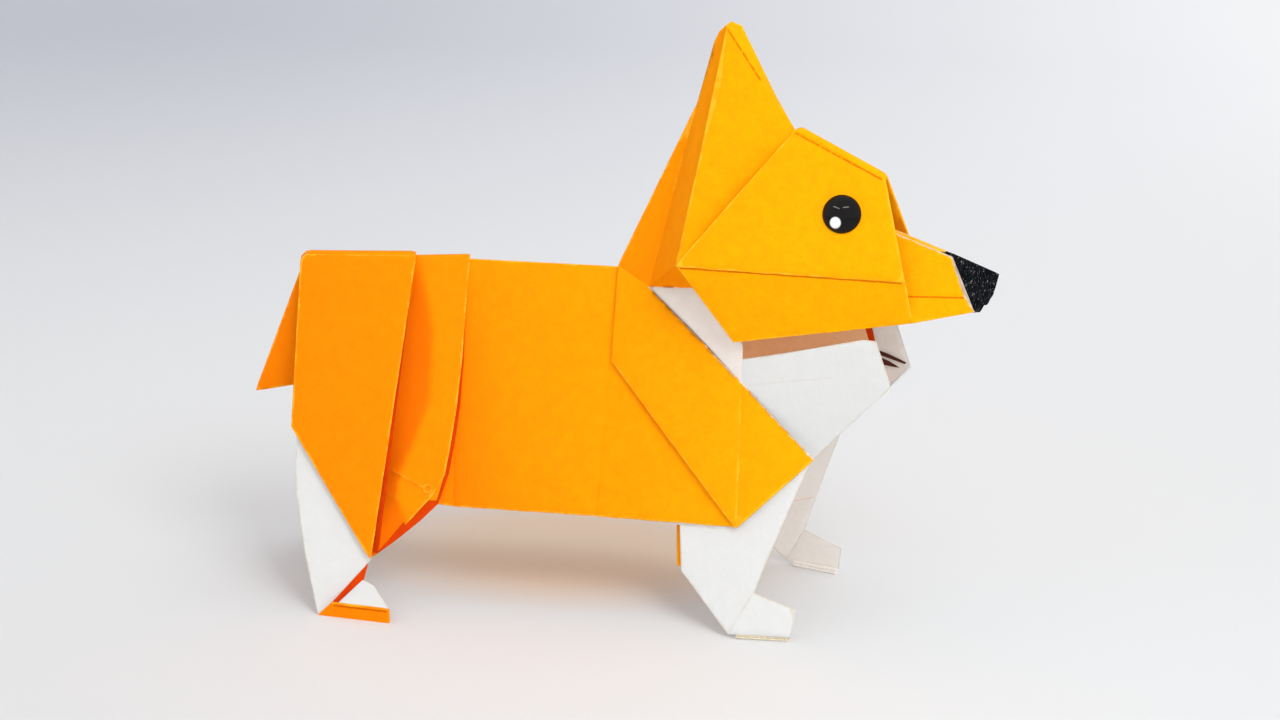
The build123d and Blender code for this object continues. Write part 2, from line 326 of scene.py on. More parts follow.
def paper_finish(name, colour, tint, core, wear, painted_glow=(1, 1, 1), power=0.0, groove=0.1,
                 rear=None, coat_shade=None):
    """A coated sheet: clouded colour, worn folds, bare raw edges and fibres a few hundredths high."""
    material, tree, shader = finish_of(name, 0.8, 0.04)
    paper = place_group(tree, fibres, Cloud_size=1.6, Speck_size=0.34)
    fold = place_group(tree, wear_and_groove_shade, Width=0.13, Raggedness=0.2)
    cloud = spread(paper["Cloud"], 0.34, 0.66)
    # Painted shade: the coat turns to the darker rear colour towards the rump.
    if rear:
        rump_shaded = blend(paper["Along"], rear, colour)
        clouded = blend(cloud, blend(1.0, rump_shaded, tint, "MULTIPLY"), rump_shaded)
    else:
        clouded = blend(cloud, tuple(a * b for a, b in zip(colour, tint)), colour)
    # Painted shade: deep orange where a flap is sunk or given a shade share.
    if coat_shade:
        clouded = blend(stored(tree, "sunk"), clouded, coat_shade)
    # Painted shade darkens the coat along pressed grooves.
    groove_shaded = blend(times(fold["Groove shade"], groove), clouded, GROOVE_SHADE, "MULTIPLY")
    rubbed = blend(times(fold["Line"], wear), groove_shaded, core)
    join(blend(times(fold["Bare"], 0.8), rubbed, PULP), shader["Base Color"])
    roughen(tree, paper["Height"], 0.4, shader)
    # A painted glow, for paper that is no lamp.
    shader["Emission Color"].default_value = (*painted_glow, 1)
    shader["Emission Strength"].default_value = power
    return material


PULP = (0.80, 0.76, 0.68)
# The colour of painted shade in pressed grooves.
GROOVE_SHADE = (0.70, 0.36, 0.25)
# The orange coat, with painted shade: darker and redder towards the rump, deep orange where sunk, dark in
# grooves.
orange = paper_finish("orange face", (0.95, 0.40, 0.0006), (0.98, 0.88, 1), (0.98, 0.60, 0.05), 0.4,
                      groove=0.9, rear=(0.92, 0.25, 0.0004), coat_shade=(0.92, 0.17, 0.0003))
# The white back, with a painted glow that lifts it where it lies in shade.
white = paper_finish("white back", (0.555, 0.56, 0.56), (0.97, 0.96, 0.95), (0.46, 0.38, 0.26), 0.55,
                     (0.97, 1.0, 1.0), 0.155)
# White paper painted with warm, orange-tinted shade and a painted warm glow.
lining = paper_finish("white back, painted warm shade", (0.88, 0.58, 0.36), (0.91, 0.85, 0.78), (0.70, 0.42, 0.24), 0.3,
                      (1.0, 0.50, 0.22), 0.15)
# Dark red painted shade for the roots of pleats, the gusset and other recesses, with a faint painted red
# glow.
coat_shade = paper_finish("painted coat shade", (0.60, 0.048, 0.0004), (0.85, 0.65, 1), (0.90, 0.16, 0.01), 0.35,
                      (1.0, 0.10, 0.005), 0.09)
# Off-white with a stronger painted glow, for white faces that lie in shade.
glowing_white = paper_finish("white, painted glow", (0.68, 0.65, 0.62), (0.95, 0.93, 0.91), (0.52, 0.43, 0.30), 0.3,
                    (1.0, 0.94, 0.87), 0.17)
# Near-black painted shade for the gaps between plies.
gap_shade = paper_finish("painted shade between plies", (0.11, 0.035, 0.02), (0.64, 0.57, 0.6), (0.3, 0.12, 0.05), 0.3)

raw, tree, shader = finish_of("raw edge", 0.85, 0.2)
ply = maths("ABSOLUTE", maths("SINE", times(stored(tree, "across"), 4.7), 0.0), 0.0)
paper = place_group(tree, fibres, Cloud_size=0.5, Speck_size=0.1)
core = blend(spread(paper["Cloud"], 0.35, 0.65), (0.72, 0.60, 0.40), (0.85, 0.80, 0.70))
join(blend(spread(ply, 0.0, 0.35), (0.42, 0.28, 0.12), core), shader["Base Color"])

ink, tree, shader = finish_of("pen ink", 0.6, 0.02)
along_strokes = add(tree, "ShaderNodeMapping", {
    "Vector": millimetres(tree), "Rotation": (0, math.radians(52), 0), "Scale": (5.5, 1.0, 0.9)}).outputs[0]
strokes = cloudy(along_strokes, 1.0, 4.0, 0.6)
missed = cloudy(along_strokes, 2.1, 5.0, 0.7)
black = blend(spread(strokes, 0.42, 0.66), (0.002, 0.003, 0.004), (0.012, 0.013, 0.016))
join(blend(times(spread(missed, 0.62, 0.67), 0.85), black, (0.62, 0.60, 0.57)), shader["Base Color"])
roughen(tree, strokes, 0.5, shader)

FINISHES = [orange, white, raw, ink, lining, coat_shade, glowing_white, gap_shade]
ORANGE, WHITE, RAW, INK, WARM_SHADE, COAT_SHADE, GLOWING_WHITE, GAP_SHADE = range(8)
# A pleat's root is painted with dark coat shade on its face.
COAT, ROOT_SHADE = (ORANGE, ORANGE), (COAT_SHADE, WHITE)      # orange on both faces, and the dark root of a pleat
print("finishes:", [m.name for m in FINISHES])

# %% [markdown]
# ## How a flap is made
#
# A flap could be an extruded polygon, but paper never looks like that. Its folded edges are
# round and its cut edges square, it bows a little between its folds, and a free edge lifts. So a
# flap is filled with fine triangles, moved along its normal by small sums of bow, wave and lift,
# and given two faces and a rim whose profile follows each edge: f is a fold, j an edge that runs
# on into the next flap, and r a raw edge.

# %% Distances and sampling on a flat outline
grain = 0.8                # size of the triangles of a flap, mm
row_rise = 0.866           # from one row of them to the next, as a share of that size
line_rows = (-0.5, -0.2, -0.1, 0, 0.1, 0.2, 0.5)      # rows of points along a pressed line, mm
line_width = 0.17
rim_rows = 4
rim_groove = 0.07          # how deep the plies part along a raw edge, mm
# At this sinking the painted shade of a sunk flap is full.
full_shade_depth = 3.4 * 0.16    # how far a relief sinks where the coat is at its deepest, mm
FAR = 9.0                  # stands for no such line near, mm


def to_segments(points, starts, ends):
    """For each point, its distance to each segment and how far along the segment that is."""
    run = ends - starts
    along = np.einsum("psk,sk->ps", points[:, None] - starts[None], run)
    along = np.clip(along / np.maximum((run ** 2).sum(1), 1e-12), 0, 1)
    nearest = starts[None] + along[..., None] * run[None]
    return np.linalg.norm(points[:, None] - nearest, axis=2), along


def inside(points, ring):
    """Which points lie inside a closed ring, by counting the sides that a ray crosses."""
    hit = np.zeros(len(points), bool)
    for a, b in zip(ring, np.roll(ring, -1, axis=0)):
        crosses = (a[1] > points[:, 1]) != (b[1] > points[:, 1])
        x = a[0] + (points[:, 1] - a[1]) * (b[0] - a[0]) / (b[1] - a[1] if b[1] != a[1] else 1e-12)
        hit ^= crosses & (points[:, 0] < x)
    return hit


def wander(point, size, seed):
    """Smooth noise between about -1 and 1."""
    return noise.noise(Vector(point) / size + Vector((seed * 7.3, seed * 3.1, seed * 1.7)))


def steps_along(a, b):
    """A segment's run, its length and the direction across it."""
    run = b - a
    length = np.linalg.norm(run)
    return run, length, np.array([run[1], -run[0]]) / length


def close_ring(flat, rough, seed, step):
    """The outline in small steps, and the edge that each is from. Rough edges wander."""
    ring, owner = [], []
    for i, (a, b) in enumerate(zip(flat, np.roll(flat, -1, axis=0))):
        run, length, outward = steps_along(a, b)
        count = max(1, math.ceil(length / step))
        for k in range(count):
            point = a + run * k / count
            if i in rough and k:
                ragged = wander((*point, i), 1.1, seed) + wander((*point, i), 4.0, seed)
                point = point + outward * rough[i] * ragged
            ring.append(point)
            owner.append(i)
    return np.array(ring), owner


def fill(ring, lines, step):
    """Fine triangles inside a ring, finer along the lines: all corners, the triangles, the rim."""
    def rim_gap(points):
        return to_segments(points, ring, np.roll(ring, -1, axis=0))[0].min(1)

    low, high = ring.min(0), ring.max(0)
    grid = np.array([(low[0] + (i + 0.5 * (j % 2)) * step, low[1] + j * step * row_rise)
                     for j in range(int((high[1] - low[1]) / step / row_rise) + 2)
                     for i in range(int((high[0] - low[0]) / step) + 2)])
    grid = grid[inside(grid, ring)]
    beside = []
    for p, q, _ in lines:
        run, length, across = steps_along(p, q)
        count = max(2, int(length / 0.5))
        beside += [p + run * k / count + across * shift for k in range(count + 1) for shift in line_rows]
    if len(grid):
        keep = rim_gap(grid) > 0.4 * step
        if beside:
            beside = np.array(beside)
            keep &= np.linalg.norm(grid[:, None] - beside[None], axis=2).min(1) > 0.25
            beside = beside[inside(beside, ring) & (rim_gap(beside) > 0.15)]
        grid = grid[keep]
    spots = [Vector(p) for p in (*ring, *grid, *beside)]
    cut = delaunay_2d_cdt(spots, [], [list(range(len(ring)))], 1, 1e-5, True)
    index = {k: i for i, origins in enumerate(cut[3]) for k in origins}
    return np.array([tuple(p) for p in cut[0]]), cut[2], [index[k] for k in range(len(ring))]


# %% A flap of paper


def flap(side, corners, edges, faces=(ORANGE, WHITE), thick=0.3, bow=0.0, wave=0.08, lifts=(), rough=(),
         relief=None, marks=(), facing=None, seed=1, step=grain, deep=0.0):
    """One flap as arrays. corners are (forward, out, up); lifts are (edge, start, middle, end, reach)."""
    corners = [Vector((x, side * out, z)) for x, out, z in corners]
    order = list(range(len(corners)))
    normal = sum((a.cross(b) for a, b in zip(corners, corners[1:] + corners[:1])), Vector()).normalized()
    flipped = normal.dot(Vector(facing or (0, side, 0))) < 0
    if flipped:
        corners = [corners[0]] + corners[:0:-1]
        edges, order, normal = edges[::-1], order[::-1], -normal
    origin = corners[0]
    u = corners[1] - origin
    u = (u - normal * u.dot(normal)).normalized()
    v = normal.cross(u)

    def flatten(point):
        return np.array([(Vector(point) - origin).dot(u), (Vector(point) - origin).dot(v)])

    starts = np.array([flatten(c) for c in corners])
    ends = np.roll(starts, -1, axis=0)
    lines = [(flatten(p), flatten(q), depth) for p, q, depth in marks]
    ring, owner = close_ring(starts, {i: rough[k] for i, k in enumerate(order) if k in rough}, seed, step)
    spots, triangles, loop = fill(ring, lines, step)
    count, number = len(spots), len(loop)
    n, u, v = np.array(normal), np.array(u), np.array(v)
    places = np.array(origin)[None] + spots[:, :1] * u + spots[:, 1:] * v

    # How far each spot rises: corners that are out of plane, then bow, wave, lifts, lines and relief
    gaps, alongs = to_segments(spots, starts, ends)
    to_rim = gaps.min(1)
    off = [(c - origin).dot(normal) for c in corners]
    ring_off = np.array([off[i] + (off[(i + 1) % len(off)] - off[i]) * np.linalg.norm(p - starts[i])
                         / np.linalg.norm(ends[i] - starts[i]) for p, i in zip(ring, owner)])
    pull = 1 / (((spots[:, None] - ring[None]) ** 2).sum(2) + 1e-6)
    span = np.clip(to_rim / min(max(to_rim.max(), 0.01), 9.0), 0, 1)
    rise = bow * (1 - (1 - span) ** 2) + (pull * ring_off).sum(1) / pull.sum(1)
    if wave:
        rise += np.array([wander(p, 9.0, seed) for p in places]) * wave * np.clip(to_rim / 2.0, 0, 1)
    for edge, start, middle, end, reach in lifts:
        i = order.index(edge)
        s = 1 - alongs[:, i] if flipped else alongs[:, i]
        amount = start * (1 - s) * (1 - 2 * s) + middle * 4 * s * (1 - s) + end * s * (2 * s - 1)
        rise += amount * np.clip(1 - gaps[:, i] / reach, 0, 1) ** 2
    to_line = {-1: np.full(count, FAR), 1: np.full(count, FAR)}
    for p, q, depth in lines:
        way = -1 if depth < 0 else 1
        to_line[way] = np.minimum(to_line[way], to_segments(spots, p[None], q[None])[0][:, 0])
    for way, distance in to_line.items():
        deepest = max((abs(depth) for *_, depth in lines if depth * way > 0), default=0.0)
        rise += way * deepest * np.exp(-(distance / line_width) ** 2)
    # How much painted shade each spot gets: the flap's own share, or more where its relief sinks.
    sunk = np.full(count, deep)
    if relief:
        sway = relief(places[:, 0], places[:, 2])
        rise += sway
        sunk = 0.9 * np.clip(-sway / full_shade_depth, 0, 1)
    middle = places + rise[:, None] * n

    # Two faces and a rim, which is round along folds and square along raw edges
    sides = np.roll(ring, -1, axis=0) - ring
    sides /= np.maximum(np.linalg.norm(sides, axis=1), 1e-9)[:, None]
    before = np.roll(np.arange(number), 1)
    outward = np.stack([sides[:, 1], -sides[:, 0]], 1)
    outward = outward + outward[before]
    outward /= np.maximum(np.linalg.norm(outward, axis=1), 1e-9)[:, None]
    outward = outward[:, :1] * u + outward[:, 1:] * v
    kinds = [edges[i] for i in owner]
    is_round = np.array([kinds[j] != "r" or kinds[before[j]] != "r" for j in range(number)])
    coordinates = [middle + n * thick / 2, middle - n * thick / 2]
    across = [np.ones(count), -np.ones(count)]
    rows = [loop]
    for row in range(1, rim_rows + 1):
        angle = math.pi * (0.5 - row / (rim_rows + 1))
        push = np.where(is_round, thick / 2 * math.cos(angle), -rim_groove if row in (2, 3) else 0.0)
        height = np.where(is_round, thick / 2 * math.sin(angle), thick / 2 * (1 - 2 * row / (rim_rows + 1)))
        coordinates.append(middle[loop] + outward * push[:, None] + n * height[:, None])
        across.append(height / (thick / 2))
        rows.append([2 * count + (row - 1) * number + j for j in range(number)])
    rows.append([count + k for k in loop])
    polygons = [tuple(t) for t in triangles] + [tuple(count + k for k in reversed(t)) for t in triangles]
    paints = [faces[0]] * len(triangles) + [faces[1]] * len(triangles)
    for upper, lower in zip(rows, rows[1:]):
        for j in range(number):
            k = (j + 1) % number
            polygons.append((upper[j], lower[j], lower[k], upper[k]))
            paints.append(RAW if kinds[j] == "r" else faces[0])

    def nearest(kind):
        of_kind = [i for i, one in enumerate(edges) if one == kind]
        return gaps[:, of_kind].min(1) if of_kind else np.full(count, FAR)

    data = {"fold": np.minimum(nearest("f"), to_line[1]), "raw": nearest("r"), "mark": to_line[-1],
            "sunk": sunk}
    data = {key: np.concatenate([values] * 2 + [values[loop]] * rim_rows) for key, values in data.items()}
    data["across"] = np.concatenate(across)
    frayed = [[middle[loop[j]] for j in range(number) if owner[j] == i]
              for i in range(len(edges)) if order[i] in rough]
    return {"co": np.concatenate(coordinates), "faces": polygons, "paints": paints, "frayed": frayed,
            "data": data}


def tucked(side, corners, faces=(ORANGE, WHITE), thick=0.16, edges="", **options):
    """A flat ply that lies between others. Its edges run on into them unless it says otherwise."""
    return flap(side, corners, edges or "j" * len(corners), faces, thick, wave=0, **options)


# %% Putting flaps together as one piece
FRAYED = []            # every rough edge of the dog as a row of points, for the fibres that stand out of it


def stand(name, mesh, slot, *nodes):
    """An object of the shared frame for a mesh, which rides on the dog's only body."""
    thing = linked(name, mesh)
    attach(thing, "root")
    if nodes:
        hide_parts(*nodes)
    return thing


def mesh_of(name, points, faces, smooth=True, **numbers):
    """A mesh with numbers at every vertex for its finish to read."""
    mesh = bpy.data.meshes.new(name)
    mesh.from_pydata(points, [], faces)
    mesh.polygons.foreach_set("use_smooth", [smooth] * len(faces))
    for key, values in numbers.items():
        mesh.attributes.new(key, "FLOAT", "POINT").data.foreach_set("value", np.array(values, np.float32))
    return mesh


def piece(name, matrix, flaps):
    """Joins flaps in one object. Nothing of it lies below the floor."""
    FRAYED.extend([matrix @ Vector(point) for point in path] for one in flaps for path in one["frayed"])
    shifts = np.cumsum([0] + [len(one["co"]) for one in flaps])
    polygons = [tuple(k + shift for k in face)
                for one, shift in zip(flaps, shifts.tolist()) for face in one["faces"]]
    turned = np.concatenate([one["co"] for one in flaps]) @ np.array(matrix.to_3x3()).T
    turned += np.array(matrix.translation)
    turned[:, 2] = np.maximum(turned[:, 2], 0.0)
    numbers = {key: np.concatenate([one["data"][key] for one in flaps]) for key in flaps[0]["data"]}
    mesh = mesh_of(name, turned.tolist(), polygons, **numbers)
    for finish in FINISHES:
        mesh.materials.append(finish)
    mesh.polygons.foreach_set("material_index", [paint for one in flaps for paint in one["paints"]])
    mesh.validate()
    mesh.set_sharp_from_angle(angle=math.radians(48))
    stand(name, mesh, "paper", "folded_sheet")
    low, high = turned.min(0) * 1000, turned.max(0) * 1000
    print(name, len(flaps), "flaps,", len(polygons), "faces, mm", np.round(low, 1), "to", np.round(high, 1))


def both_sides(matrix, **makers):
    """The same pieces on the right and on the left, each from its own function of the side."""
    for name, side in SIDES.items():
        for kind, make in makers.items():
            piece(f"{kind}_{name}", matrix, make(side))


# %% [markdown]
# ## The trunk
#
# The trunk is a tent: two leaning walls that share the fold of the back and end in a folded hem
# at the belly. The hem is a second ply turned up on the inside, so its inner face is orange.

# %% The trunk


def hem(side, low, high, rise=8.0):
    """The ply turned up inside the lower edge of a wall, between two places of that edge."""
    corners = [wall(-0.62, place) for place in (low, high)]
    corners += [wall(-0.75, (x, z + rise)) for x, z in (high, low)]
    return flap(side, corners, "fjrj", (WHITE, ORANGE), 0.14)


def press(side, x, z):
    """How far the wall beside the rump is pressed in, over a width that grows towards the belly, in mm."""
    start = rear_pivot + bend_x(side, rear_turn, z)
    share = np.clip(1 - (x - start) / (2.5 + 7.5 * (ridge_z - z) / (ridge_z - belly_z)), 0, 1)
    # The finish paints shade on the wall in step with this pressing-in.
    return -0.3 * share * np.clip((ridge_z - z) / 12, 0, 1)


def trunk_wall(side):
    """The side wall between the rump and the shoulders, with its hem."""
    rear = (rear_pivot + bend_x(side, rear_turn, belly_z), belly_z)
    front = (front_pivot + bend_x(side, front_turn, belly_z), belly_z)
    corners = [wall(0, place) for place in ((rear_pivot, ridge_z), (front_pivot, ridge_z), front, rear)]
    return [flap(side, corners, "fjfj", bow=0.35, rough={2: 0.06}, seed=2 + side,
                 relief=lambda x, z: press(side, x, z)), hem(side, rear, front)]


piece("trunk", MIDDLE, trunk_wall(RIGHT) + trunk_wall(LEFT))

# %% [markdown]
# ## The rump
#
# Two knife pleats run down each side of the rump. Between them lies a band that does not lie
# flat: behind the edge of the haunch it sinks in, and near its own front edge it stands out
# again. A relief over the flap gives it that sway, and painted shade makes the sunk strip darker.
# A narrow ply in the root of each pleat is painted with dark shade, as the deep line beside it.

# %% The haunch and its pleats
rump_x, rump_rise = -21.3, 0.4
haunch_edge_x = -6.0
haunch_knee, haunch_tip = (-22.9, 24.2), (-12.8, 7.3)
haunch_depth = 5.4
band_edge = [(1.3, 45.2), (0.55, 38.5), (-0.1, 31.8), (-0.9, 26.2), (-1.9, 21.0), (-2.7, 17.5), (-3.8, 14.3)]
band_tip = (-12.4, 7.4)
band_hem = [(-4.1, 15.2), (-7.2, 12.15), (-11.0, 8.5)]
band_slit = [(-3.6, 13.75), (-6.0, 11.7), (-9.3, 9.3), (-11.9, 7.6)]
ridge_start, ring_x, ring_z, ring_size, ridge_rise = (-9.5, 18.1), -4.95, 15.75, 0.55, 0.2
band_depth, band_sink = 3.2, 3.0
band_root = [0.05, 0.3, 0.5, 0.6, 0.6, 0.45]   # how far the root of the pleat shows beside the band, mm
band_turn = {8: 0.6, 11: 0.62, 13: 0.45, 15: 0.3, 18: 0.3, 22: 0.45, 27: 0.6, 36: 0.52, 45: 0.15}
band_depths = {8: 0.3, 12: 0.6, 20: 1.0, 32: 0.85, 40: 0.45, 45.2: 0.0}


def haunch_x(z):
    """Where the front edge of the haunch is at a height."""
    return haunch_edge_x + (haunch_tip[0] - haunch_edge_x) * (ridge_z - z) / (ridge_z - haunch_tip[1])


def at_height(z, table):
    """A value read from a table of heights."""
    return np.interp(z, list(table), list(table.values()))


def band_sway(x, z):
    """How far the band lies outside its plane, in mm."""
    edge = at_height(z, {height: x_ for x_, height in band_edge[::-1]})
    start = haunch_x(z)
    share = (x - start) / np.maximum(edge - start, 0.5)
    sink = at_height(z, band_depths) * band_sink
    return -sink * np.clip(1 - share / at_height(z, band_turn), 0, 1.15) ** 0.9


def haunch(side):
    """The outer flap of the rump, with its return and the flap turned in along its back."""
    rump, edge = crown(2, rump_x, rump_rise), crown(2, haunch_edge_x)
    tip, knee = wall(2, haunch_tip), wall(2, haunch_knee)
    round_x, round_z = crown(2, rump_x + 0.7, rump_rise), (rump[0], *wall(2, (rump[0], rump[2] - 0.7))[1:])
    x, out, z = between(edge, tip, 0.985)
    start = [(edge[0], edge[1] - 0.24, edge[2]), (x + 0.95, out - 0.24, z)]
    inner = [(x - reach, out - 1.0, z) for (x, out, z), reach in zip(start, (haunch_depth, 1.1))]
    back = between(rump, knee, 0.34)
    outline = [round_z, round_x, edge, tip, knee]
    return [flap(side, outline, "fffff", bow=0.45, seed=4 + side, rough={2: 0.04}),
            # The return ply in the pleat's root is painted with shade, as a deep line beside the haunch's
            # edge.
            tucked(side, start + inner[::-1], ROOT_SHADE, 0.12),
            tucked(side, [back, knee] + shifted([knee, back], 3.0, -1.2), edges="jjrj")]


def band(side):
    """The band between the pleats, with its round mark, the gap at its hem, its root and its return."""
    edge = [crown(1, band_edge[0][0])] + [wall(1, place) for place in band_edge[1:]]
    low = [wall(1, place) for place in band_hem]
    corners = [crown(1, haunch_edge_x - 4.5)] + edge[:-1] + low + [wall(1, band_tip),
                                                                   wall(1, (haunch_x(13) - 3.5, 13))]
    ring = [(ring_x + ring_size * math.cos(a), ring_z + 0.9 * ring_size * math.sin(a))
            for a in np.linspace(0, 2 * math.pi, 13)]
    creases = list(zip(ring, ring[1:])) + [(ridge_start, (ring_x - ring_size, ring_z + 0.2))]
    marks = [tuple((x, side * wall(1, (x, z))[1], z) for x, z in pair) + (ridge_rise,) for pair in creases]
    under = shifted([edge[-2]] + [wall(1, place) for place in band_slit] + low[::-1], out=-0.3)
    root = [wall(0.62, (x + shift, z)) for (x, z), shift in zip(band_edge[1:], band_root)]
    inner = shifted(edge, -band_depth, -layer_step)
    # Where the band sinks, its finish gets painted shade.
    return [flap(side, corners, "j" + "f" * (len(edge) + len(low) - 1) + "jj", relief=band_sway, marks=marks,
                 wave=0.05, seed=6 + side, step=0.7),
            # The ply in the gap at the band's hem and the ply in the root of the pleat are painted with dark
            # shade.
            tucked(side, under, ROOT_SHADE, 0.14, step=0.4),
            tucked(side, root + shifted(root[::-1], -1.5), ROOT_SHADE, 0.1, step=0.5),
            *(tucked(side, [edge[i], edge[i + 1], inner[i + 1], inner[i]]) for i in range(len(edge) - 1))]


def flank(side):
    """The part of the side wall that runs on below the band, behind the bend in the back."""
    bend = (-bend_x(side, rear_turn, belly_z), belly_z)
    hidden = [(x - band_depth, z) for x, z in [(band_edge[0][0], ridge_z)] + band_edge[1:]]
    corners = [wall(0, place) for place in [(0, ridge_z), *hidden, bend]]
    return [flap(side, corners, "f" + "j" * (len(hidden) - 1) + "fj", seed=2 + side,
                 relief=lambda x, z: press(side, rear_pivot - 9, z)), hem(side, hidden[-1], bend)]


def roof(layer, back, front, rise=0.0, bow=0.25):
    """The narrow rounded top that joins the two walls of a pleat layer over the back."""
    ends = [crown(layer, back, rise), crown(layer, front)]
    corners = [(x, -out, z) for x, out, z in ends] + ends[::-1]
    return tucked(LEFT, corners, thick=0.3, edges="jfjf", bow=bow, facing=(0, 0, 1), step=0.4)


piece("saddle", REAR, [roof(2, rump_x + 0.7, haunch_edge_x, rump_rise),
                       roof(1, haunch_edge_x - 4.5, band_edge[0][0], bow=0.12)])
both_sides(REAR, haunch=haunch, pleat_band=lambda side: band(side) + flank(side))

# %% [markdown]
# ## The tail
#
# The tail is a narrow ridge of two faces that hangs from the rump, hard creased down its back.

# %% The tail
tail_tip, tail_front, tail_half_width = (-28.0, 26.9), (-18.0, 29.0), 2.2


def tail(side):
    """One face of the tail."""
    root = (-20.6, 0, ridge_z + 2 * crown_step + rump_rise - 0.21)
    tip = (tail_tip[0], 0, tail_tip[1])
    lower = (tail_front[0], tail_half_width, tail_front[1])
    upper = on_plane(root, tip, lower, (tail_front[0], ridge_z))
    # The tail's faces carry a painted shade share, which deepens their orange.
    return flap(side, [root, tip, lower, upper], "ffjj", bow=0.15, thick=0.26, seed=9 + side, deep=0.3)


piece("tail", REAR, [tail(RIGHT), tail(LEFT)])

# %% [markdown]
# ## The hind legs
#
# Here the sheet shows its white back. The leg is one flap that runs down to the heel, where it
# turns forward into the foot: a narrow orange hem stands on the floor, a white instep slopes back
# above it, and a gusset painted with dark shade closes the corner under the leg.

# %% The hind legs
hind_leg_outline = [(-14.0, 33.0), (-21.6, 33.0), (-22.4, 21.0), (-22.5, 15.7), (-21.4, 7.7)]
hind_heel, hind_leg_tip = (-19.8, -0.1), (-12.8, 6.8)
hind_toe_x, hind_toe_out, hind_hem, hem_line = -10.4, 3.8, 1.9, 1.6
hind_instep, hind_instep_cut = (-13.2, 12.9, 5.2), [(-12.4, 3.75), (-13.82, 4.15)]


def hind_leg(side):
    """The white leg with its lining, the foot with its orange hem, and the gusset between them."""
    heel, tip = wall(0, hind_heel), wall(0, hind_leg_tip)
    outline = [wall(0, place) for place in hind_leg_outline]
    toe = (hind_toe_x, heel[1] + hind_toe_out, hind_heel[1])
    top = [(heel[0] + 1.9, heel[1] + 0.77, hind_hem), (toe[0], toe[1], hind_hem)]
    # A pressed line along the hem, darkened by painted groove shade.
    line = ((top[0][0] + 0.3, side * (top[0][1] + 0.12), hem_line), (toe[0] - 0.3, side * toe[1], hem_line),
            -0.06)
    cut = [on_plane(top[0], top[1], hind_instep, place) for place in hind_instep_cut]
    back = (top[0][0] + 0.8, top[0][1] + 0.3, hind_hem)
    lining = shifted([outline[2], outline[4], heel, tip], out=-0.45)
    return [flap(side, outline + [heel, tip], "jjfffff", (WHITE, ORANGE), bow=0.2, seed=11 + side),
            flap(side, [heel, toe, top[1], top[0]], "jffj", COAT, thick=0.32, seed=12, marks=[line]),
            flap(side, [back, top[1], *cut], "jffj", (WHITE, ORANGE), thick=0.22, seed=13),
            tucked(side, lining, thick=0.14, edges="jjfj"),
            # The gusset's two plies are painted with dark shade.
            tucked(side, [heel, back, cut[1]], (COAT_SHADE, COAT_SHADE)),
            tucked(side, [heel, cut[1], between(heel, tip, 0.96)], (COAT_SHADE, COAT_SHADE), edges="jjf", step=0.4)]


both_sides(REAR, hind_leg=hind_leg)

# %% [markdown]
# ## The shoulders
#
# The shoulder is a large flap of the second layer. It is creased from the top of the breast down
# to its lowest corner, and its long free edge along the trunk lifts off and casts a thin shadow,
# deepened by a sliver of the ply below that is painted with shade.

# %% The shoulders
shoulder_top_x = 0.3
shoulder_corner, shoulder_tip = (0.9, 33.2), (20.7, 14.1)
shoulder_peek = [(0.9, 33.0), (5.7, 28.05), (11.3, 22.7), (16.9, 17.5)]
shoulder_front, shoulder_crease, shoulder_neck = (29.95, 23.35), (19.25, 32.0), (4.95, 42.9)


def shoulder(side):
    """The flap over the front of the trunk and the wall under it."""
    top, back, tip = crown(1, shoulder_top_x), wall(1, shoulder_corner), wall(1, shoulder_tip)
    bend, neck = wall(1, shoulder_crease), wall(1, shoulder_neck)
    x, out, z = wall(1, shoulder_front)
    peek = [wall(0.5, place) for place in shoulder_peek] + [between(back, tip, 0.93), back]
    low = (-bend_x(side, front_turn, belly_z), belly_z)
    under = [(0, ridge_z), (4.3, ridge_z), (shoulder_crease[0], 23.2), shoulder_tip, low]
    return [flap(side, [top, back, tip, bend, neck], "jffrj", bow=0.3, lifts=[(1, 0.05, 0.3, 0.05, 6.0)],
                 rough={1: 0.03, 3: 0.2}, seed=15 + side, step=0.6),
            flap(side, [bend, tip, (x, out - 0.8, z)], "ffr", bow=0.15, rough={2: 0.07}, seed=17 + side),
            tucked(side, [top, back] + shifted([back, top], 4.0, -layer_step), edges="jrjj"),
            # The sliver under the free edge is painted fully with shade.
            tucked(side, peek, thick=0.12, step=0.5, deep=1.0),
            flap(side, [wall(0, place) for place in under], "fjjfj", rough={3: 0.05}, seed=2 + side),
            hem(side, low, (18.6, belly_z), rise=7.0)]


both_sides(FRONT, shoulder=shoulder)

# %% [markdown]
# ## The front legs
#
# Each front leg is a pocket of two plies, white outside and orange inside, so a sliver of orange
# shows along its open back edge. The foot turns forward at the heel and rests on a stack of
# folded plies, whose edges show as a thin yellowish sole. The far leg stands a little back.

# %% The front legs
leg_back = [(12.7, 24.6), (12.7, 13.3), (13.6, 7.7)]
front_heel, front_ankle = (21.0, 0.6), (23.7, 5.9)
leg_edge = [(25.5, 11.8), (29.4, 22.9), (27.4, 24.6)]
sole_x, toe_x, toe_top, toe_in = 22.1, 28.9, (29.3, 4.1), 1.4
leg_top, leg_lean = 24.0, {RIGHT: 0.0, LEFT: 0.06}
sole_top = 0.75
sole_outline = [(22.0, 15.1), (28.75, 13.75), (28.7, 12.9), (22.2, 14.2)]


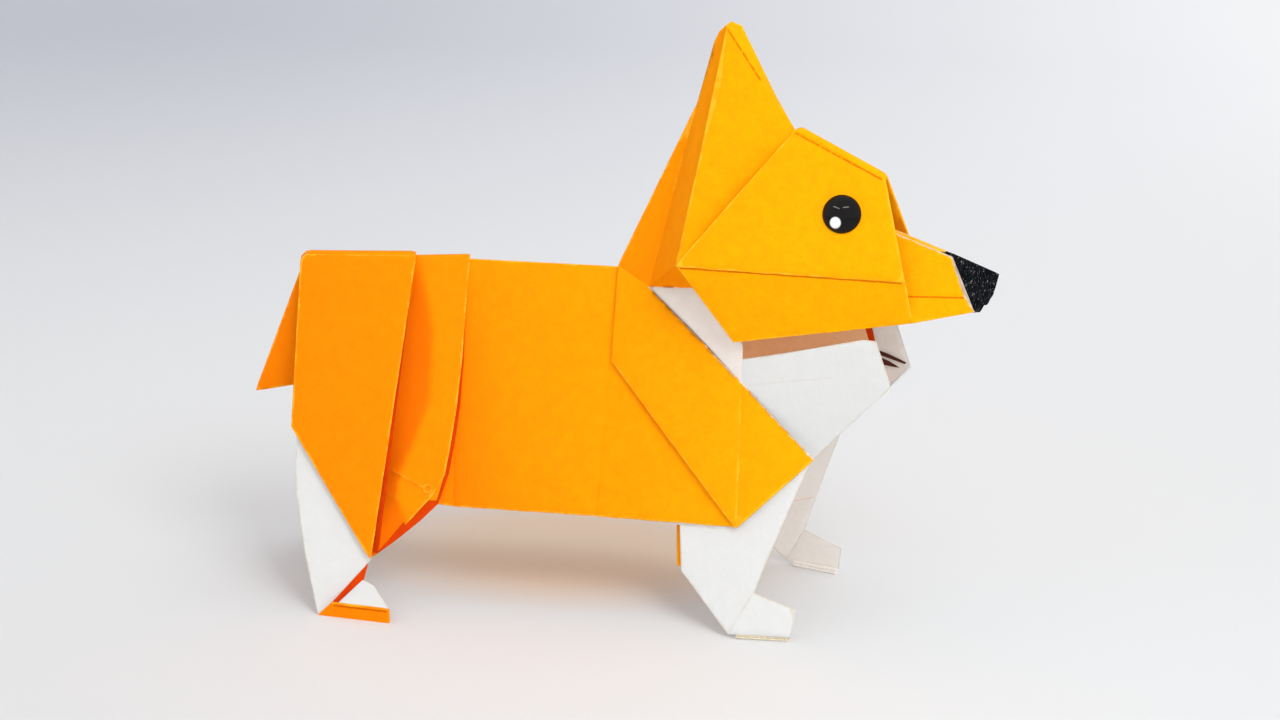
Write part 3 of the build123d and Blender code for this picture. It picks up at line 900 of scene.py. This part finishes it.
def front_leg(side):
    """The two plies of the leg and its foot, set back by a share of the drop from the leg's top."""
    heel, ankle = wall(-1, front_heel), wall(-1, front_ankle)
    edge, back = [wall(-1, p) for p in leg_edge], [wall(-1, p) for p in leg_back]
    low = (back[-1][0], back[-1][1] - 1.5, back[-1][2])
    inner = shifted([on_plane(edge[0], edge[1], low, place) for place in leg_back], -1.1)
    toe = (toe_x, heel[1] - toe_in, sole_top)
    sole, top = [on_plane(heel, toe, ankle, place) for place in ((sole_x, sole_top), toe_top)]
    outline = back + [heel, ankle] + edge
    # The inner faces of the leg plies take the white with a painted glow.
    leg = [flap(side, outline, "ffffffjj", (WHITE, GLOWING_WHITE), 0.24, bow=0.15, seed=19 + side),
           flap(side, inner + edge[:2], "ffjjj", (ORANGE, GLOWING_WHITE), thick=0.22, seed=20),
           flap(side, [heel, sole, toe, top, ankle], "jjfff", (WHITE, GLOWING_WHITE), seed=21,
                facing=(0.2, side, 0.3))]
    for one in leg:
        one["co"][:, 0] -= leg_lean[side] * np.maximum(leg_top - one["co"][:, 2], 0)
    return leg


both_sides(FRONT, front_leg=front_leg)

# %% [markdown]
# ## The neck and the ears
#
# The neck rises as a ridge behind the ears. Its back faces look away from the light, and painted
# shade deepens their orange, so they are the darker strips beside the bright front of the ear,
# which stands a little proud of them.

# %% Points that the head shares. Their heights are above the back of the dog.


def from_back(*point):
    """Lifts a point of the head from the height of the back."""
    return (*point[:-1], ridge_z + point[-1])


brow = [from_back(24.8, 0.9, 20.5), from_back(36.8, 0.6, 15.0)]
cheek_flare = 18.0
cheek_corner, cheek_crease_front = (11.4, 3.4), (40.6, 2.7)
jaw_front, jaw_back = from_back(41.6, 3.4, -2.9), (18.7, -6.7)
ear_tip, throat_corner = from_back(15.5, 1.2, 33.8), from_back(13.2, 7.0, 0.0)
neck_top = from_back(11.2, 0, 23.1)
nape = [from_back(*place) for place in ((11.6, 0, 24.3), (13.4, 0, 29.6), (13.5, 0, 31.3), (14.2, 0, 32.7))]
ear_edge = [(15.15, 26.4), (13.9, 19.6), (12.84, 13.5)]
ear_end, ear_peak, far_ear_cut = from_back(16.9, 0.4, 33.55), from_back(15.6, 0.3, 34.0), 0.04


def cheek_point(place):
    """A point of the upper cheek, which leans out from the brow."""
    low = (brow[1][0], brow[1][1] + math.tan(math.radians(cheek_flare)), brow[1][2] - 1)
    return on_plane(*brow, low, from_back(*place))


corner = cheek_point(cheek_corner)
ear_back = [on_plane(ear_tip, brow[0], corner, from_back(*place)) for place in ear_edge]      # tip first


def neck(side):
    """The faces between the ridge of the neck and the back edge of the ear."""
    foot, fork = crown(1, shoulder_top_x), wall(1, shoulder_neck)
    behind, tip = (corner[0] + 0.2, corner[1] - 0.35, corner[2]), (ear_tip[0], ear_tip[1] - 0.3, ear_tip[2])
    strip = [neck_top, behind] + shifted(ear_back[::-1], 0.3, -0.3) + [tip] + nape[::-1]
    # The neck's flaps carry a painted shade share, which deepens their orange.
    looks = {"faces": COAT, "facing": (-0.5, side, 0), "deep": 0.3}
    return [flap(side, [neck_top, foot, fork], "fjf", bow=0.1, seed=23 + side, **looks),
            flap(side, [neck_top, fork, behind], "fjj", bow=0.1, seed=24, **looks),
            flap(side, strip, "j" * 5 + "f" * 5, seed=25, step=0.5, **looks),
            flap(side, [fork, throat_corner, corner], "rjj", thick=0.2, seed=26, deep=0.3)]


def ear(side):
    """The bright front of an ear. The right one also has what closes both ears in front and on top."""
    root = brow[0] if side == RIGHT else between(brow[0], corner, far_ear_cut)
    # The pressed line down the ear is darkened by painted groove shade.
    line = [(x - 0.1, side * out, z - 0.2) for x, out, z in (ear_tip, between(ear_tip, root, 0.5))] + [-0.04]
    face = flap(side, [ear_tip, root, corner] + ear_back[::-1], "jjffff", COAT, bow=0.1,
                lifts=[(1, -0.1, -0.75, -0.1, 5.0)], marks=[line] if side == RIGHT else (), seed=27 + side)
    return [face] + (ear_front() if side == RIGHT else [])


def ear_front():
    """The strip that closes the two ears in front, and the blunt cap over their tips."""
    near, far = [(ear_tip[0], side * ear_tip[1], ear_tip[2]) for side in (RIGHT, LEFT)]
    low = between(brow[0], corner, far_ear_cut)
    seat = [(brow[0][0], -brow[0][1], brow[0][2]), (brow[0][0] - 0.6, 0, brow[0][2] - 0.3)]
    cap = shifted([near, ear_peak, far, nape[-1]], up=-0.1)
    front, beyond = [near, *seat, ear_end, ear_peak], [ear_peak, ear_end, seat[1], low, far]
    return [tucked(LEFT, front, COAT, 0.24, "jjfff", facing=(0.8, 0, 0.6), seed=28, step=0.4),
            tucked(LEFT, beyond, COAT, 0.2, "jfjjj", facing=(0.8, 1, 0.3), step=0.4),
            tucked(LEFT, cap, COAT, 0.2, facing=(-0.5, 0, 1), step=0.3)]


both_sides(FRONT, neck=neck, ear=ear)

# %% [markdown]
# ## The head
#
# Each cheek is two flaps that meet in a crease below the eye. The upper one is a layer of its
# own, and its ragged lower edge lies over the lower one as a thin worn line.

# %% The head


def groove(side, ends, fall, depth):
    """A line pressed in beside an edge, a little below it."""
    # The finish darkens this line with painted groove shade.
    return tuple((x, side * out, z - fall) for x, out, z in ends) + (depth,)


def cheek(side):
    """The upper and the lower cheek."""
    back, front = corner, cheek_point(cheek_crease_front)
    chin = on_plane(back, front, jaw_front, from_back(*jaw_back))
    upper = brow + shifted([front, back], out=0.12, up=-0.12)
    # The pressed grooves under the brow and under the upper cheek are darkened by painted groove shade.
    return [flap(side, upper, "jfff", COAT, bow=0.15, rough={2: 0.1},
                 lifts=[(3, 0.1, 0.4, 0.1, 3.0)], marks=[groove(side, brow, 0.22, -0.07)], seed=29 + side),
            flap(side, [back, front, jaw_front, chin], "jfff", COAT, bow=0.1,
                 marks=[groove(side, (back, front), 0.36, -0.05)], seed=31 + side)]


strip = [(x, -out, z) for x, out, z in brow] + brow[::-1]
piece("brow", FRONT, [tucked(LEFT, strip, thick=0.3, facing=(0.3, 0, 1), bow=0.5, rough={0: 0.08}, step=0.3)])
both_sides(FRONT, cheek=cheek)

# %% [markdown]
# ## The muzzle and the nose
#
# The muzzle comes out between the cheeks as a narrow ridge. An outer ply wraps it, and its raw
# edge shows white along the top and in front of the nose. The nose layer under it is inked.

# %% The muzzle and the nose
muzzle_ridge, jaw_spot = [(38.2, 8.1), (46.0, 5.6)], (41.6, -2.9)
nose_tip, nose_end, muzzle_end = (51.9, 3.5), [(51.0, 0.6), (50.1, -1.0)], (48.6, -1.1)
nose_outline = [(44.5, 6.0), muzzle_ridge[1], nose_tip, *nose_end, muzzle_end, (46.0, 0.0)]
muzzle_under = [(28.0, 11.6), (38.2, 8.1), (45.0, 5.9), (46.2, -1.6), jaw_spot, (30.5, -4.8)]
muzzle_crease = [(40.7, 0.3), (48.5, 0.6)]
muzzle_wrap = [muzzle_ridge[0], (46.05, 5.5), (46.7, 3.9), (47.4, 2.3), (48.3, 0.7), (49.5, -1.0), jaw_spot,
               muzzle_crease[0]]


def muzzle(side):
    """The inked nose, the ply behind it and the wrap of the muzzle."""
    ridge = [from_back(x, 0.25, rise) for x, rise in (muzzle_ridge[0], nose_tip)]

    def spots(places, step=0.0):
        return shifted([on_plane(*ridge, jaw_front, from_back(*place)) for place in places], out=step)

    return [flap(side, spots(nose_outline), "jffffjj", (INK, INK), wave=0.05, step=0.45, seed=33,
                 rough={2: 0.04, 3: 0.13, 4: 0.13}),
            tucked(side, spots(muzzle_under), thick=0.26, edges="jfjfjj", seed=34),
            # Its pressed crease is darkened by painted groove shade.
            flap(side, spots(muzzle_wrap, 0.3), "rrrrrfjj", thick=0.2, bow=0.06, wave=0.03, step=0.5,
                 seed=35 + side, rough={0: 0.05, 2: 0.05, 3: 0.05},
                 marks=[groove(side, spots(muzzle_crease, 0.3), 0.0, -0.05)])]


piece("muzzle", FRONT, muzzle(RIGHT) + muzzle(LEFT))

# %% [markdown]
# ## The collar and the breast
#
# Under the cheeks the sheet turns to its white back again. The collar spreads from the neck to a
# hinge line, and from there the breast runs forward as an open box: two walls and a keel below.
# Inner plies show where one looks into the box. Their finishes paint warm shade inside it and
# near-black shade in the gaps between them.

# %% The collar and the breast
breast_half, inner_gap, inner_step = 5.0, 0.2, 0.06
collar_outline = [(4.6, 43.0), (12.2, 46.0), (17.4, 42.0), (19.2, 37.0)]
collar_seat = [(19.2, 28.9), (4.2, 40.1)]
breast_top = [(19.2, 35.1), (25.9, 36.7), (35.6, 39.3), (37.3, 39.3)]
breast_lining = [(18.9, 34.9), (25.9, 36.5), (33.4, 38.5), (33.9, 31.0), (26.0, 22.0), (18.9, 27.0)]
breast_fold = [(33.1, 38.6), (34.0, 38.8), (34.6, 36.2), (33.9, 36.2)]
breast_slits = [[(35.0, 35.4), (36.4, 35.0), (38.9, 34.05), (38.7, 33.9), (35.0, 34.9)],
                [(35.2, 34.5), (36.6, 34.0), (38.0, 33.3), (35.2, 33.6)]]
breast_crease = [(20.0, 31.7), (31.5, 34.0)]
breast_point, breast_seat = (39.4, 33.4), [(26.0, 19.3), (19.2, 26.4)]


def breast(side):
    """The collar and the breast wall of one side."""
    def upright(places, out):
        return [(x, out, z) for x, z in places]

    hinge = upright([breast_top[0], collar_seat[0]], breast_half)
    spring = (collar_outline[0][0], 1.0, collar_outline[0][1])
    collar = [on_plane(spring, *hinge, place) for place in collar_outline + [breast_top[0]] + collar_seat]
    outline = upright(breast_top + [breast_point] + breast_seat, breast_half)
    # The breast's crease is darkened a little by painted groove shade.
    crease = groove(side, upright(breast_crease, breast_half), 0.0, -0.02)
    # The collar's face and the breast's inner face take the white with a painted glow, and the collar's back
    # is painted with warm shade.
    flaps = [flap(side, collar, "ffffjjj", (GLOWING_WHITE, WARM_SHADE), thick=0.22, seed=37 + side),
             flap(side, outline, "ffffffj", (WHITE, GLOWING_WHITE), 0.22, bow=0.25, marks=[crease], seed=39 + side)]
    lift = 0.5 if side == LEFT else 0.0
    inner = [(x, z + lift) for x, z in breast_lining[:3]] + breast_lining[3:]
    # The inner plies are painted with warm shade, dark coat shade and near-black shade in the gaps.
    plies = [(inner, WARM_SHADE), (breast_fold, COAT_SHADE)] + [(slit, GAP_SHADE) for slit in breast_slits]
    for i, (places, finish) in enumerate(plies):
        out = breast_half - inner_gap - i * inner_step
        flaps.append(tucked(side, upright(places, out), (finish, finish), 0.1))
    return flaps


low, high = [(x, breast_half, z) for x, z in (breast_seat[0], breast_point)]
keel = flap(LEFT, [(x, -out, z) for x, out, z in (low, high)] + [high, low], "fjfj", (WHITE, WHITE), 0.2,
            facing=(0.7, 0, -0.7), seed=41)
piece("breast", FRONT, breast(RIGHT) + breast(LEFT) + [keel])

# %% [markdown]
# ## The eyes
#
# Each eye is a shallow dome with a short skirt, turned about its axis, in glossy black plastic.
# A lathe profile with fine steps keeps its reflections clean, which a coarse CAD mesh can't. The
# round bright spot low on the dome is a painted highlight in the finish, from each vertex's
# distance to its centre.

# %% The eyes
eye_radius, eye_skirt, eye_dome, eye_seat = 2.5, 0.4, 1.2, 0.16
eye_place = (31.9, 10.5)
eye_count, eye_rings = 72, 22
glint_right, glint_down = 0.62, 1.25
gloss, tree, shader = finish_of("eye plastic", 0.06, 0.2)
# A painted highlight: a round white spot low on the dome, in the base colour.
painted_highlight = spread(stored(tree, "glint"), 0.58, 0.82)
join(blend(painted_highlight, (0.95, 0.95, 0.95), (0.003, 0.002, 0.002)), shader["Base Color"])


def eye_profile():
    """Radius and height of every ring of the eye, from its foot to near its top."""
    ball = (eye_radius ** 2 + eye_dome ** 2) / (2 * eye_dome)
    angles = np.linspace(math.asin(eye_radius / ball) * 0.94, 0, eye_rings)[:-1]
    return [(eye_radius - 0.06, 0.0), (eye_radius, 0.05), (eye_radius, eye_skirt - 0.05),
            (eye_radius - 0.02, eye_skirt), (eye_radius - 0.09, eye_skirt + 0.035),
            *((ball * math.sin(a), eye_skirt + eye_dome - ball + ball * math.cos(a)) for a in angles)]


def eye(side, name):
    """A lathed dome seated on the cheek."""
    seat = [Vector((x, side * out, z)) for x, out, z in (*brow, cheek_point(eye_place))]
    axis = (seat[1] - seat[0]).cross(seat[2] - seat[0]).normalized()
    axis = axis if axis.y * side > 0 else -axis
    along = (Vector((1, 0, 0)) - axis * axis.x).normalized()
    up = axis.cross(along) * -side
    base = seat[2] + axis * eye_seat
    points, faces, glint = [base - axis * 0.02], [], [FAR]
    profile = eye_profile()
    for radius, height in profile:
        for turn in (2 * math.pi * k / eye_count for k in range(eye_count)):
            right, high = radius * math.cos(turn), radius * math.sin(turn)
            points.append(base + along * right + up * high + axis * height)
            glint.append(math.hypot(right + glint_right, high + glint_down))
    points.append(base + axis * (eye_skirt + eye_dome))
    glint.append(FAR)
    last = 1 + (len(profile) - 1) * eye_count
    for k in range(eye_count):
        n = (k + 1) % eye_count
        rings = range(1, last, eye_count)
        faces.append((0, 1 + n, 1 + k))
        faces += [(a + k, a + n, a + eye_count + n, a + eye_count + k) for a in rings]
        faces.append((last + k, last + n, len(points) - 1))
    matrix = np.array(FRONT)
    places = np.array([tuple(p) for p in points]) @ matrix[:3, :3].T + matrix[:3, 3]
    mesh = mesh_of(name, places.tolist(), [f[::-1] if side < 0 else f for f in faces], glint=glint)
    mesh.materials.append(gloss)
    mesh.set_sharp_from_angle(angle=math.radians(40))
    return stand(name, mesh, "eye", name)


for name, side in SIDES.items():
    low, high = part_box(f"eye_{name}")
    dome = eye(side, f"eye_{name}")
    centre = sum((v.co for v in dome.data.vertices), Vector()) / len(dome.data.vertices)
    print(dome.name, "is", round(((low + high) / 2 - centre).length * 1000, 2), "mm from its CAD eye")

# %% [markdown]
# ## The soles and the loose fibres
#
# Two things on the dog repeat: the plies that lie one on another under each front foot, and the
# fibres that stand out of every rough edge. Both could be copied by a loop, but Geometry Nodes keep
# the rule and its sizes in one tree, so that a count or a spacing can be changed without new code.

# %% Helpers that build a geometry tree and run it


def geometry_tree(name, inputs):
    """A new geometry node tree with named inputs, and its two ends."""
    tree = bpy.data.node_groups.new(name, "GeometryNodeTree")
    tree.interface.new_socket("Geometry", in_out="INPUT", socket_type="NodeSocketGeometry")
    for key, value in inputs.items():
        kind = "NodeSocketInt" if isinstance(value, int) else "NodeSocketFloat"
        tree.interface.new_socket(key, in_out="INPUT", socket_type=kind).default_value = value
    tree.interface.new_socket("Finish", in_out="INPUT", socket_type="NodeSocketMaterial")
    tree.interface.new_socket("Geometry", in_out="OUTPUT", socket_type="NodeSocketGeometry")
    return tree, *ends_of(tree)


def copies(tree, points, instance, material, result, **more):
    """Ends a tree: copies on points become real geometry and take their finish."""
    placed = add(tree, "GeometryNodeInstanceOnPoints", {"Points": points, "Instance": instance, **more})
    real = add(tree, "GeometryNodeRealizeInstances", {0: placed.outputs[0]}).outputs[0]
    join(add(tree, "GeometryNodeSetMaterial", {0: real, 2: material}).outputs[0], result[0])


def random(tree, seed, low, high, kind="FLOAT"):
    """A random value for each copy, from the tree's seed."""
    node = add(tree, "FunctionNodeRandomValue", {"Seed": seed}, data_type=kind)
    first = 0 if kind == "FLOAT_VECTOR" else 2
    node.inputs[first].default_value, node.inputs[first + 1].default_value = low, high
    return node.outputs[first // 2]


def grow(name, start, tree, **values):
    """Runs a tree on a starting mesh and leaves a plain mesh in the shared frame."""
    seed = linked(name + "_start", start)
    modifier = seed.modifiers.new("tree", "NODES")
    modifier.node_group = tree
    for socket in tree.interface.items_tree:
        if socket.in_out == "INPUT" and socket.name in values:
            modifier[socket.identifier] = values[socket.name]
    mesh = bpy.data.meshes.new_from_object(seed.evaluated_get(bpy.context.evaluated_depsgraph_get()))
    bpy.data.objects.remove(seed)
    mesh.name = name
    stand(name, mesh, "paper")
    print(name, len(mesh.polygons), "faces")


# %% The plies under the front feet
plies, given, result = geometry_tree("stack of plies", {"Plies": 3, "Spacing": 0.0002, "Slip": 0.0001,
                                                        "Seed": 4})
rise = add(plies, "ShaderNodeCombineXYZ", {2: given["Spacing"]}).outputs[0]
column = add(plies, "GeometryNodeMeshLine", {"Count": given["Plies"], "Offset": rise}).outputs[0]
slip = random(plies, given["Seed"], (-1, -1, 0), (1, 1, 0), "FLOAT_VECTOR")
shift = add(plies, "ShaderNodeVectorMath", {0: slip, "Scale": given["Slip"]}, operation="SCALE").outputs[0]
uneven = add(plies, "GeometryNodeSetPosition", {"Geometry": column, "Offset": shift}).outputs[0]
copies(plies, uneven, given["Geometry"], given["Finish"], result)
ply_thickness = 0.13


def sole_ply(side):
    """One closed ply in the outline of a sole, with the numbers that its finish reads."""
    corners = [(x - leg_lean[side] * (leg_top - sole_top), side * out) for x, out in sole_outline][::-side]
    points = [FRONT @ Vector((x, y, z)) for z in (0, ply_thickness) for x, y in corners]
    count = len(corners)
    faces = [tuple(range(count))[::-1], tuple(range(count, 2 * count))]
    faces += [(i, (i + 1) % count, count + (i + 1) % count, count + i) for i in range(count)]
    numbers = {"across": 0.25, "fold": FAR, "raw": FAR, "mark": FAR}
    numbers = {key: [value] * len(points) for key, value in numbers.items()}
    return mesh_of("ply", points, faces, smooth=False, **numbers)


# The far sole takes the white with a painted glow.
for name, side in SIDES.items():
    grow(f"sole_{name}", sole_ply(side), plies, Plies=4, Spacing=0.00019, Slip=0.00012,
         Finish=raw if side == RIGHT else glowing_white)

# %% The fibres along the rough edges
fuzz, tree, shader = finish_of("loose fibre", 0.9, 0.05)
paper = place_group(tree, fibres, Cloud_size=0.6, Speck_size=0.1)
join(blend(spread(paper["Cloud"], 0.4, 0.6), (1.0, 0.36, 0.02), (0.95, 0.72, 0.36)), shader["Base Color"])
frayed, given, result = geometry_tree("frayed edge", {"Spacing": 0.0004, "Length": 0.0003,
                                                      "Thickness": 0.00002, "Seed": 9})
curve = add(frayed, "GeometryNodeMeshToCurve", {0: given["Geometry"]}).outputs[0]
spaced = add(frayed, "GeometryNodeCurveToPoints", {"Curve": curve, "Length": given["Spacing"]}, mode="LENGTH")
hair = add(frayed, "GeometryNodeMeshCone", {"Vertices": 3, "Radius Top": 0.0, "Depth": given["Length"],
                                            "Radius Bottom": given["Thickness"]}).outputs[0]
turn = random(frayed, given["Seed"], (0, 0, 0), (math.tau, math.tau, math.tau), "FLOAT_VECTOR")
copies(frayed, spaced.outputs[0], hair, given["Finish"], result, Rotation=turn,
       Scale=random(frayed, given["Seed"], 0.4, 1.3))
rows = bpy.data.meshes.new("frayed edges")
starts = np.cumsum([0] + [len(path) for path in FRAYED])
rows.from_pydata([tuple(p) for path in FRAYED for p in path],
                 [(k, k + 1) for a, b in zip(starts, starts[1:]) for k in range(a, b - 1)], [])
grow("loose_fibres", rows, frayed, Spacing=0.00035, Length=0.00032, Thickness=0.000018, Finish=fuzz)

# %% [markdown]
# ## The floor and the light
#
# A pale floor sweeps up into the backdrop. Painted shade makes the backdrop darker to the left
# and the floor a little darker to the right, and a painted shadow with a faint painted warm glow
# makes the floor darker and warm under the dog. One large soft lamp stands in front, high and to
# the right, so that faces turned to the tail are darker, weak ones fill from the front and above,
# and two slits are there for the eyes to mirror.

# %% The floor and backdrop
painted_warmth_centre, painted_warmth_reach = (-0.012, 0.014), (0.038, 0.028)
floor_depth, wall_height, floor_bend = 0.42, 1.1, 0.25
ground, tree, shader = finish_of("backdrop", 0.9, 0.1)
place = add(tree, "ShaderNodeTexCoord").outputs["Object"]
axes = add(tree, "ShaderNodeSeparateXYZ", {0: place}).outputs
right = spread(axes[0], -0.25, 0.2)
# Painted shade: the backdrop darker to the left, the open floor a little darker to the right.
wall_painted_shade = blend(right, (0.58, 0.60, 0.66), (0.98, 0.99, 1.0))
floor_painted_shade = blend(right, (0.72, 0.73, 0.74), (0.66, 0.67, 0.68))
# A painted shadow and painted warm light under the dog: a darker, warmer floor colour and a faint glow.
x, y = [maths("DIVIDE", maths("SUBTRACT", axes[i], painted_warmth_centre[i]), painted_warmth_reach[i]) for i in (0, 1)]
away = maths("POWER", plus(times(x, x), times(y, y)), 0.5)
under = maths("SUBTRACT", 1.0, spread(away, 0.35, 1.0))
floor_colour = blend(under, floor_painted_shade, (0.70, 0.57, 0.46))
shader["Emission Color"].default_value = (1.0, 0.72, 0.45, 1)
join(times(under, 0.07), shader["Emission Strength"])
join(blend(spread(axes[1], 0.0, 0.45), floor_colour, wall_painted_shade), shader["Base Color"])
outline = [(-1.2, 0.0), (floor_depth, 0.0)]
outline += [(floor_depth + floor_bend * math.sin(a), floor_bend - floor_bend * math.cos(a))
            for a in np.linspace(0, math.pi / 2, 24)]
outline += [(floor_depth + floor_bend, wall_height)]
sweep = mesh_of("backdrop", [(x, y, z) for y, z in outline for x in (-2.0, 2.0)],
                [(i, i + 1, i + 3, i + 2) for i in range(0, 2 * len(outline) - 2, 2)])
sweep.materials.append(ground)
backdrop = linked("backdrop", sweep)

# %% The lamps


def lamp(name, place, size, power, target=aim, beam=180.0):
    """A square soft lamp that looks at a point, with a beam as wide as its grid lets through."""
    data = bpy.data.lights.new(name, "AREA")
    data.size, data.energy, data.spread = size, power, math.radians(beam)
    thing = linked(name, data)
    thing.location = place
    thing.rotation_euler = (Vector(place) - Vector(target)).to_track_quat("Z", "Y").to_euler()
    thing.visible_camera = False
    return thing


for one in (lamp("key", (0.22, -0.26, 0.32), 0.22, 0.14, (0.06, 0.0, 0.06), 60.0),
            lamp("fill", (0.35, -0.9, 0.3), 0.7, 0.4), lamp("top", (0.1, 0.1, 0.95), 0.9, 0.3)):
    one.visible_glossy = False
for name, place, size in (("slit_left", (-0.20, -0.30, 0.42), 0.30),
                          ("slit_right", (0.17, -0.30, 0.46), 0.24)):
    slit = lamp(name, place, size, 0.5, (0.035, -0.005, 0.055))
    slit.data.shape, slit.data.size_y = "RECTANGLE", 0.035
    slit.visible_diffuse = False
world = bpy.data.worlds.new("room")
world.use_nodes = True
room = world.node_tree.nodes["Background"].inputs
room[0].default_value, room[1].default_value = (1.0, 0.99, 0.98, 1), 1.0
bpy.context.scene.world = world
